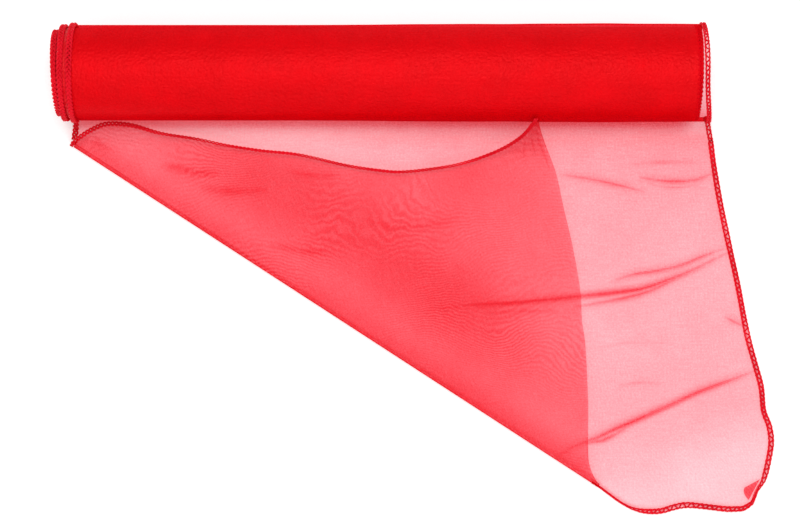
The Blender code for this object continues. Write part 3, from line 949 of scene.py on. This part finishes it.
def makeWoundWeb():
    # The web wound on its core, as the spiral that it is.
    total = wound["turns"] * wound["steps"]
    share = np.linspace(0, 1, total)
    a = math.radians(roll["wrapStart"]) - math.tau * wound["turns"] * (1 - share)
    radius = wound["innerRadius"] + (roll["woundRadius"] - wound["innerRadius"]) * share
    # The last turn closes on the one below, so that the roll stays round.
    slip = -9.0 + 4.1 * smoothStep((share - 0.55) / 0.4) + 0.5 * np.sin(a * 0.37)
    rows, cloth = [], []
    across = np.linspace(-1, 1, wound["columns"])
    travelled = np.concatenate([[0], np.cumsum(np.diff(a) * radius[1:])])
    for i in range(total):
        x = slip[i] + across * (roll["halfWidth"] - 0.4) + 1.4 * (across > 0.99)
        sink = 1.2 * np.maximum(0, -across) ** 14
        r = radius[i] - sink * (share[i] > 0.5)
        rows.append(np.stack([x, r * math.cos(a[i]), axisZ / mm + r * math.sin(a[i])], axis=1))
        cloth.append(np.stack([x, np.full(len(x), travelled[i])], axis=1))
    points = np.concatenate(rows)
    faces = [f[::-1] for f in gridFaces(total, wound["columns"])]
    piece = makeObject("organza_wound", toFrame(points), faces, woundCloth, "roll")
    setClothData(piece, np.concatenate(cloth), np.zeros(len(points)))
    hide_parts("inner_winding", "outer_winding")
    return piece, float(travelled[-1])


lead = makeLead()
flap = makeFlap()
rightHem = makeRightHem()
leftHem = makeLeftHem()
flapHem = makeFlapHem()
print("lead, flap and hems made")
coils = makeCoils()
woundWeb, woundLength = makeWoundWeb()
print("roll made")


tuckFold = {"steps": 9, "height": 1.7, "apart": 0.5, "flat": (0.014, 0.011)}


def makeTuck():
    # The corner turned in over the lead: a small three-cornered fold and the strip beside it.
    outlines = [
        [(218.2, -236.6), (209.0, -241.6), (207.6, -245.0), (211.6, -248.8)],
        [(218.8, -237.2), (216.6, -240.4), (213.2, -246.0), (212.6, -251.6)],
    ]
    points, faces = [], []
    steps = tuckFold["steps"]
    for k, outline in enumerate(outlines):
        start = len(points)
        height = tuckFold["height"] + tuckFold["apart"] * k
        for i in range(steps):
            t = i / (steps - 1)
            a = np.array(outline[0]) * (1 - t) + np.array(outline[1]) * t
            b = np.array(outline[0]) * (1 - t) + np.array(outline[3]) * t
            mid = np.array(outline[2]) * t + np.array(outline[0]) * (1 - t)
            for j in range(steps):
                u = j / (steps - 1)
                p = a * (1 - u) ** 2 + mid * (2 * u * (1 - u)) + b * u * u
                points.append((p[0], p[1], height + 0.5 * math.sin(u * math.pi) * t))
        faces += gridFaces(steps, steps, start)
    piece = makeObject("organza_tuck", toFrame(np.array(points)), faces, sheerFlap, "sheet")
    setClothData(piece, np.array(points)[:, :2], np.full(len(points), 1.3))
    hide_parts("corner_tuck")
    return piece


tuck = makeTuck()


paper = {"pale": (0.60, 0.48, 0.33, 1), "dark": (0.40, 0.30, 0.19, 1), "roughness": 0.85,
         "fibres": 900.0, "seams": 9.0}
tape = {"pale": (0.90, 0.89, 0.82, 1), "dark": (0.80, 0.77, 0.66, 1), "roughness": 0.2,
        "clouds": 60.0}


def makePaper():
    # Grey-brown paperboard with the seam of its spiral ply and short fibres.
    material, tree, out = newMaterial("corePaper")
    place = tree.nodes.new("ShaderNodeTexCoord")
    shader = tree.nodes.new("ShaderNodeBsdfPrincipled")
    fibre = noiseNode(tree, place.outputs["Object"], paper["fibres"], 4.0)
    color = mixedColor(tree, fibre, paper["dark"], paper["pale"])
    tree.links.new(color, shader.inputs["Base Color"])
    shader.inputs["Roughness"].default_value = paper["roughness"]
    seam = tree.nodes.new("ShaderNodeTexWave")
    seam.inputs["Scale"].default_value = paper["seams"]
    seam.inputs["Distortion"].default_value = 0.4
    tree.links.new(place.outputs["Object"], seam.inputs["Vector"])
    height = mathNode(tree, "ADD", mathNode(tree, "POWER", seam.outputs["Fac"], 12.0), fibre)
    tree.links.new(addBump(tree, height, 0.5, 0.0003), shader.inputs["Normal"])
    tree.links.new(shader.outputs[0], out.inputs["Surface"])
    return material


def makeTape():
    material, tree, out = newMaterial("clearTape")
    place = tree.nodes.new("ShaderNodeTexCoord")
    shader = tree.nodes.new("ShaderNodeBsdfPrincipled")
    cloud = noiseNode(tree, place.outputs["Object"], tape["clouds"], 3.0)
    color = mixedColor(tree, cloud, tape["dark"], tape["pale"])
    tree.links.new(color, shader.inputs["Base Color"])
    shader.inputs["Roughness"].default_value = tape["roughness"]
    tree.links.new(shader.outputs[0], out.inputs["Surface"])
    return material


corePaper = makePaper()
clearTape = makeTape()
for node, material in (
    ("core_inner_ply", corePaper),
    ("core_outer_ply", corePaper),
    ("start_tape", clearTape),
):
    core = frame["nodes"][node].data
    core.materials.clear()
    core.materials.append(material)
print("core finished")

# One web: the lead is a stretch of it less the corner that is folded over, the flap. Here the flap and
# its cord only have their transforms baked into their meshes.
for piece in (flap, flapHem):
    low, high = foldStart.copy(), foldStart.copy()
    low.z, high.z = (height * mm for height in fold["blend"])
    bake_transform(piece)

look = {
    "cameraHeight": 1.5,
    "viewWidth": 0.4704,
    "cameraX": 6.8,
    "cameraY": -111.4,
    "sensor": 36.0,
    "world": 0.60,
    "lamps": {            # place, size and power
        "overhead": ((0.0, 0.48, 1.86), 0.8, 17.0),
        "frontFill": ((0.2, -1.4, 1.4), 1.2, 17.0 * 0.53),
    },
    "tableColor": (0.86, 0.86, 0.86, 1),
    "tableGlow": 0.28,
}


def makeStage():
    bpy.ops.mesh.primitive_plane_add(size=6, location=(0, 0, -0.0002))
    table = bpy.context.object
    table.name = "table"
    material, tree, out = newMaterial("paleTable")
    shader = tree.nodes.new("ShaderNodeBsdfPrincipled")
    shader.inputs["Base Color"].default_value = look["tableColor"]
    shader.inputs["Roughness"].default_value = 0.9
    shader.inputs["Specular IOR Level"].default_value = 0.0
    shader.inputs["Emission Color"].default_value = (1, 1, 1, 1)
    shader.inputs["Emission Strength"].default_value = look["tableGlow"]
    tree.links.new(shader.outputs[0], out.inputs["Surface"])
    table.data.materials.append(material)

    world = bpy.data.worlds.new("studio")
    bpy.context.scene.world = world
    world.use_nodes = True
    world.node_tree.nodes["Background"].inputs[0].default_value = (1, 1, 1, 1)
    world.node_tree.nodes["Background"].inputs[1].default_value = look["world"]

    for name, (place, size, power) in look["lamps"].items():
        lamp = bpy.data.lights.new(name, "AREA")
        lamp.shape = "SQUARE"
        lamp.size = size
        lamp.energy = power
        holder = bpy.data.objects.new(name, lamp)
        holder.location = place
        aim = Vector((0, 0, 0)) - Vector(place)
        holder.rotation_euler = aim.to_track_quat("-Z", "Y").to_euler()
        bpy.context.scene.collection.objects.link(holder)

    camera = bpy.data.cameras.new("camera")
    camera.sensor_width = look["sensor"]
    camera.lens = look["sensor"] * look["cameraHeight"] / look["viewWidth"]
    holder = bpy.data.objects.new("camera", camera)
    holder.location = at(look["cameraX"], look["cameraY"])
    holder.location.z = look["cameraHeight"]
    bpy.context.scene.collection.objects.link(holder)
    bpy.context.scene.camera = holder
    bpy.context.scene.view_settings.view_transform = "Standard"
    print("stage set")


makeStage()
